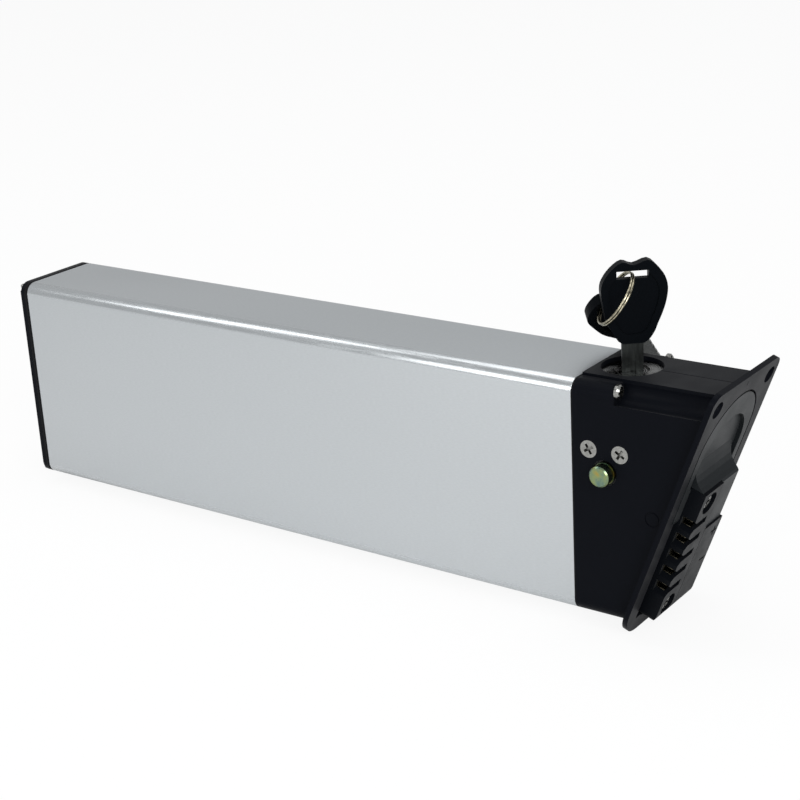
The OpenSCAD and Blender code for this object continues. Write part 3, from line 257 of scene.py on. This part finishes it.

# The recess shade widths paint shade into the colour of recesses, in millimetres
LOOKS = {
    "tube": grained(
        "anodised_tube", shades((0.545, 0.57, 0.585), 0.03), 0.37,
        metallic=1, grain=0.5, stretch=(0.25, 1, 1), bump=0.2, patch=60, patchy=0.02, burnish=BURNISH,
    ),
    "black_shell": grained("black_shell", shades((0.0025, 0.0031, 0.0050), 0.15), 0.4, level=0.035, **MOULDED),
    "black_grip": grained("black_grip", shades((0.0115, 0.0135, 0.0150), 0.15), 0.4, level=0.06, **MOULDED),
    "black_block": grained(
        "black_block", shades((0.0028, 0.0035, 0.0050), 0.15), 0.42,
        level=0.05, sheen=0.06, grain=0.4, bump=0.2, depth=0.04, patch=9, patchy=0.06,
    ),
    "seal": grained("seal", shades((0.004, 0.004, 0.005), 0.1), 0.7, level=0.1, grain=0.8),
    "steel": grained(
        "plated_steel", shades((0.30, 0.30, 0.285), 0.15), 0.26,
        metallic=1, grain=0.8, patch=2.5, patchy=0.1, recess_shade=1.6,
    ),
    "yellow_zinc": grained(
        "yellow_zinc", ZINC_TINTS, 0.3, metallic=1, patch=4.2, patchy=0.08, tinted="patch", recess_shade=1.5
    ),
    "bright": grained(
        "bright_plate", shades((0.12, 0.12, 0.118), 0.75), 0.18,
        metallic=1, bump=0.5, depth=0.08, patch=2.2, patchy=0.08, tinted="patch", rings=(LOCK_X, LOCK_Y, 0.9), recess_shade=2.0,
    ),
    "ring_wire": grained(
        "ring_wire", shades((0.36, 0.33, 0.24), 0.6), 0.15, metallic=1, patch=1.2, patchy=0.1, tinted="patch", recess_shade=0.8
    ),
    "barrel": grained(
        "turned_steel", shades((0.40, 0.40, 0.39), 0.1), 0.3,
        metallic=1, grain=0.5, bump=0.3, rings=(LOCK_X, LOCK_Y, 0.5),
    ),
    "key_steel": grained(
        "key_steel", shades((0.034, 0.037, 0.036), 0.25), 0.36,
        metallic=1, grain=0.9, stretch=(1, 1, 0.15), bump=0.15, patch=5, patchy=0.1,
    ),
    "key_black": grained(
        "key_black", shades((0.0018, 0.0025, 0.0035), 0.15), 0.38,
        level=0.02, sheen=0.01, bump=0.28, depth=0.05, patch=7, patchy=0.06,
    ),
    "contact": grained(
        "contact_plate", shades((0.20, 0.18, 0.13), 0.2), 0.22, metallic=1, grain=0.5, patch=2, patchy=0.1, recess_shade=2.5
    ),
    "cell_wrap": grained("cell_wrap", shades((0.05, 0.2, 0.45), 0.1), 0.4, grain=1.5),
    "holder": grained("holder", shades((0.03, 0.03, 0.032), 0.1), 0.5, grain=0.8),
    "nickel": grained("nickel", shades((0.62, 0.6, 0.56), 0.08), 0.32, metallic=1),
    "board_paper": grained("board_paper", shades((0.6, 0.5, 0.3), 0.1), 0.75, grain=1.2),
    "foam": grained("foam", shades((0.08, 0.08, 0.085), 0.2), 0.9, grain=1.0, bump=0.5, depth=0.2),
    "circuit": grained("circuit", shades((0.02, 0.14, 0.06), 0.12), 0.3, grain=2.0),
    "parts": grained("board_parts", shades((0.5, 0.5, 0.51), 0.1), 0.4, metallic=1, grain=0.8),
    "lead": grained("lead", shades((0.5, 0.03, 0.02), 0.1), 0.45, grain=0.8),
}
# Pieces whose look differs from the rest of their slot
OWN_LOOK = {"grip_plate": "black_grip", "key_ring": "ring_wire"}

# Pieces that stand for nodes whose corners are rounder in the photograph
# Length of the tube that the rear seal covers, and the gap that keeps the seals off their neighbours
SEAL_STEP = 1.4 * MM
SEAL_GAP = 0.02 * MM
# How far the cutters reach past the sides, past the head's back, and behind and before the tube's rear end
CUTTER_OUT = 3 * MM
HEAD_REACH = 2 * MM
REAR_REACH = 12 * MM
REAR_OVERLAP = 2 * MM
SEAT_MARGIN = 0.01 * MM
# The corner screws' radius, drawn in so that they stay inside the rounder corners
SCREW_SHARE = 0.54
# Back plane of the slanted flange: a point of it and its lean, from the record's mount
seat = next(mount for mount in record["mounts"] if mount["name"] == "flange_seat")
SEAT_X, SEAT_Z = seat["pos_m"][0], seat["pos_m"][2]
SEAT_RUN = -seat["axis"][2] / seat["axis"][0]


def placed(name, mesh):
    piece = bpy.data.objects.new(name, mesh)
    bpy.context.collection.objects.link(piece)
    return piece


def mesh_piece(name, verts, faces, smooth):
    """Object from points and faces; smooth says for each face whether it shades softly."""
    mesh = bpy.data.meshes.new(name)
    mesh.from_pydata(verts, [], faces)
    mesh.validate()
    mesh.update()
    for face, soft in zip(mesh.polygons, smooth):
        face.use_smooth = soft
    return placed(name, mesh)


def section(inset):
    """Points (y, z) round a rounded rectangle that lies inset from the tube's outer section."""
    radius = max(CORNER - inset, SMALLEST_RADIUS)
    centre_y = HALF_WIDTH - inset - radius
    centre_high, centre_low = SECTION_HIGH - inset - radius, SECTION_LOW + inset + radius
    centres = [(centre_y, centre_high), (-centre_y, centre_high), (-centre_y, centre_low), (centre_y, centre_low)]
    points = []
    for quarter, (cy, cz) in enumerate(centres):
        for step in range(ROUND_STEPS + 1):
            angle = math.pi / 2 * (quarter + step / ROUND_STEPS)
            points.append((cy + radius * math.cos(angle), cz + radius * math.sin(angle)))
    return points


def section_ring(name, start, end):
    """Tube of the rounded section from start to end along x, open through its middle."""
    outer, inner = section(0), section(TUBE_WALL)
    count = len(outer)
    loops = [(start, outer), (end, outer), (end, inner), (start, inner)]
    verts = [(x, y, z) for x, loop in loops for y, z in loop]
    faces, smooth = [], []
    for band in range(len(loops)):
        following = (band + 1) % len(loops)
        for i in range(count):
            j = (i + 1) % count
            faces.append((band * count + i, band * count + j, following * count + j, following * count + i))
            # The walls between two loops of the same outline are soft, the ends flat
            smooth.append(band in (0, 2))
    return mesh_piece(name, verts, faces, smooth)


def corner_cutter(name, starts, ends):
    """Four bars along x that fill the space between square corners and the wider rounding.

    starts and ends give a bar's two ends in x from the height z.
    """
    verts, faces = [], []
    angles = [math.pi / 2 * step / ROUND_STEPS for step in range(ROUND_STEPS + 1)]
    for side in (1, -1):
        for rise, edge in ((1, SECTION_HIGH), (-1, SECTION_LOW)):
            cy, cz = side * (HALF_WIDTH - CORNER), edge - rise * CORNER
            arc = [(cy + side * CORNER * math.cos(a), cz + rise * CORNER * math.sin(a)) for a in angles]
            out_y, out_z = side * (HALF_WIDTH + CUTTER_OUT), edge + rise * CUTTER_OUT
            loop = [(out_y, arc[0][1])] + arc + [(arc[-1][0], out_z), (out_y, out_z)]
            base, n = len(verts), len(loop)
            for end in (starts, ends):
                verts += [(end(z), y, z) for y, z in loop]
            faces += [tuple(base + k for k in range(n)), tuple(base + n + k for k in range(n))[::-1]]
            faces += [(base + k, base + n + k, base + n + (k + 1) % n, base + (k + 1) % n) for k in range(n)]
    piece = mesh_piece(name, verts, faces, [False] * len(faces))
    outward = bmesh.new()
    outward.from_mesh(piece.data)
    bmesh.ops.recalc_face_normals(outward, faces=outward.faces)
    outward.to_mesh(piece.data)
    outward.free()
    return piece


def rounded_copy(name, node, cutter):
    """Copy of a node's form with its corners cut rounder. The cutter is used up."""
    piece = placed(name, nodes[node].data.copy())
    cut = piece.modifiers.new("corners", "BOOLEAN")
    cut.operation = "DIFFERENCE"
    cut.solver = "EXACT"
    cut.object = cutter
    shape = bpy.data.meshes.new_from_object(piece.evaluated_get(bpy.context.evaluated_depsgraph_get()))
    piece.modifiers.clear()
    piece.data = shape
    shape.name = name
    bpy.data.objects.remove(cutter)
    return piece


def slimmer_copy(name, node, share):
    """Copy of the four corner screws, each drawn in towards its own axis."""
    mesh = nodes[node].data.copy()
    mesh.name = name
    middle = (SECTION_LOW + SECTION_HIGH) / 2
    screws = {}
    for vertex in mesh.vertices:
        screws.setdefault((vertex.co.y > 0, vertex.co.z > middle), []).append(vertex)
    for vertices in screws.values():
        for axis in (1, 2):
            values = [vertex.co[axis] for vertex in vertices]
            centre = (min(values) + max(values)) / 2
            for vertex in vertices:
                vertex.co[axis] = centre + (vertex.co[axis] - centre) * share
    return placed(name, mesh)


stand_ins = {}


def stands_for(piece, node):
    """Lets the piece take a housing node's place."""
    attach(piece, "housing")
    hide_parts(node)
    stand_ins[node] = piece


skin_start = tube_low[0] + SEAL_STEP
rear_seal_low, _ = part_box("rear_gasket")
head_seal_low, head_seal_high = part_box("head_gasket")
head_low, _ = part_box("head_housing")
stands_for(section_ring("tube_skin", skin_start, tube_high[0]), "battery_tube")
stands_for(section_ring("rear_seal", rear_seal_low[0], skin_start - SEAL_GAP), "rear_gasket")
stands_for(section_ring("head_seal", head_seal_low[0] + SEAL_GAP, head_seal_high[0] - SEAL_GAP), "head_gasket")
head_cutter = corner_cutter(
    "head_corners", lambda z: head_low[0] - HEAD_REACH, lambda z: SEAT_X + SEAT_RUN * (z - SEAT_Z) - SEAT_MARGIN
)
stands_for(rounded_copy("head_shell", "head_housing", head_cutter), "head_housing")
rear_cutter = corner_cutter("rear_corners", lambda z: tube_low[0] - REAR_REACH, lambda z: tube_low[0] + REAR_OVERLAP)
stands_for(rounded_copy("rear_shell", "rear_end_cap", rear_cutter), "rear_end_cap")
stands_for(slimmer_copy("rear_screws", "rear_cap_screws", SCREW_SHARE), "rear_cap_screws")

# Softened edges of moulded and machined pieces, in millimetres
EDGES = {
    "battery_tube": 0.3,
    "head_housing": 0.35,
    "rear_end_cap": 0.4,
    "grip_plate": 0.4,
    "connector_block": 0.35,
    "terminal_cover": 0.4,
    "key_bow": 0.4,
    "spare_key_bow": 0.4,
    "key_blade": 0.12,
    "spare_key_blade": 0.12,
}
EDGE_SEGMENTS = 2
# Only edges that turn by more than this are softened
EDGE_ANGLE = math.radians(35)

for name, node_object in nodes.items():
    piece = stand_ins.get(name, node_object)
    piece.data.materials.clear()
    piece.data.materials.append(LOOKS[OWN_LOOK.get(name, SLOT_OF[name])])
    if name in EDGES:
        bevel = piece.modifiers.new("edges", "BEVEL")
        bevel.width = EDGES[name] * MM
        bevel.segments = EDGE_SEGMENTS
        bevel.limit_method = "ANGLE"
        bevel.angle_limit = EDGE_ANGLE


def show(tree, lit, shown, output, camera_share, gloss_share):
    """Shows the camera and the gloss a tone of their own, by these shares, and leaves the light on the part as lit."""
    path = tree.nodes.new("ShaderNodeLightPath")
    camera_part = math_node(tree, "MULTIPLY", path.outputs["Is Camera Ray"], camera_share)
    gloss_part = math_node(tree, "MULTIPLY", path.outputs["Is Glossy Ray"], gloss_share)
    mix = tree.nodes.new("ShaderNodeMixShader")
    tree.links.new(math_node(tree, "MAXIMUM", camera_part, gloss_part), mix.inputs["Fac"])
    tree.links.new(lit.outputs[0], mix.inputs[1])
    tree.links.new(shown.outputs[0], mix.inputs[2])
    tree.links.new(mix.outputs[0], tree.nodes[output].inputs["Surface"])


# Floor of white paper under the lowest point of the part. The lit share keeps the part's shadow.
FLOOR_HALF = 6.0
PAPER = (0.86, 0.86, 0.86, 1)
PAPER_ROUGHNESS = 0.9
floor_z = cad_box[0][2]
floor_corners = [(sx * FLOOR_HALF, sy * FLOOR_HALF, floor_z) for sx, sy in ((-1, -1), (1, -1), (1, 1), (-1, 1))]
floor_mesh = bpy.data.meshes.new("floor")
floor_mesh.from_pydata(floor_corners, [], [(0, 1, 2, 3)])
floor = placed("floor", floor_mesh)
paper = bpy.data.materials.new("floor_paper")
paper.use_nodes = True
paper_shader = paper.node_tree.nodes["Principled BSDF"]
socket(paper_shader, "Base Color", PAPER)
socket(paper_shader, "Roughness", PAPER_ROUGHNESS)
glow = paper.node_tree.nodes.new("ShaderNodeEmission")
socket(glow, "Color", (1, 1, 1, 1))
show(paper.node_tree, paper_shader, glow, "Material Output", camera_share=0.9, gloss_share=0.3)
floor_mesh.materials.append(paper)

# World: an even grey that lights the part, and a paler grey beyond the floor's edge and in the gloss
SKY_LIGHT = (0.62, 0.63, 0.64, 1)
SKY_STRENGTH = 0.84
SKY_SHOWN = (0.8, 0.8, 0.8, 1)
world = bpy.data.worlds.new("studio")
bpy.context.scene.world = world
world.use_nodes = True
sky = world.node_tree
sky_light = sky.nodes["Background"]
socket(sky_light, "Color", SKY_LIGHT)
socket(sky_light, "Strength", SKY_STRENGTH)
sky_shown = sky.nodes.new("ShaderNodeBackground")
socket(sky_shown, "Color", SKY_SHOWN)
show(sky, sky_light, sky_shown, "World Output", camera_share=1.0, gloss_share=0.25)


def softbox(name, place, target, size, watts):
    """Rectangular lamp that faces the target."""
    data = bpy.data.lights.new(name, "AREA")
    data.shape = "RECTANGLE"
    data.size, data.size_y = size
    data.energy = watts
    lamp = placed(name, data)
    lamp.location = place
    lamp.rotation_euler = (Vector(target) - Vector(place)).to_track_quat("-Z", "Y").to_euler()


softbox("front_box", place=(-0.1, -1.9, 0.8), target=(0.1, 0, 0.05), size=(1.2, 0.9), watts=9)
softbox("top_box", place=(0.1, 0.2, 2.2), target=(0, 0, 0.05), size=(1.8, 1.4), watts=13)
# Stands where the tube's upper front corner mirrors it into the camera
softbox("corner_box", place=(-1.3, -0.62, 1.5), target=(0, -0.02, 0.1), size=(0.5, 1.3), watts=5.5)
softbox("right_box", place=(1.5, -1.0, 0.9), target=(0.3, -0.15, 0), size=(1.0, 0.8), watts=20)

# Camera
right = Vector((math.cos(CAMERA_AZIMUTH), math.sin(CAMERA_AZIMUTH), 0))
back = Vector(
    (
        math.sin(CAMERA_AZIMUTH) * math.cos(CAMERA_ELEVATION),
        -math.cos(CAMERA_AZIMUTH) * math.cos(CAMERA_ELEVATION),
        math.sin(CAMERA_ELEVATION),
    )
)
up = back.cross(right)
rolled_right = right * math.cos(CAMERA_ROLL) + up * math.sin(CAMERA_ROLL)
rolled_up = up * math.cos(CAMERA_ROLL) - right * math.sin(CAMERA_ROLL)
camera_data = bpy.data.cameras.new("camera")
camera_data.sensor_width = SENSOR_WIDTH
camera_data.lens = FOCAL_LENGTH
camera_data.clip_end = CAMERA_REACH
camera = placed("camera", camera_data)
turn = Matrix((rolled_right, rolled_up, back)).transposed()
camera.matrix_world = Matrix.Translation(CAMERA_PLACE) @ turn.to_4x4()
bpy.context.scene.camera = camera
bpy.context.scene.view_settings.view_transform = "Standard"
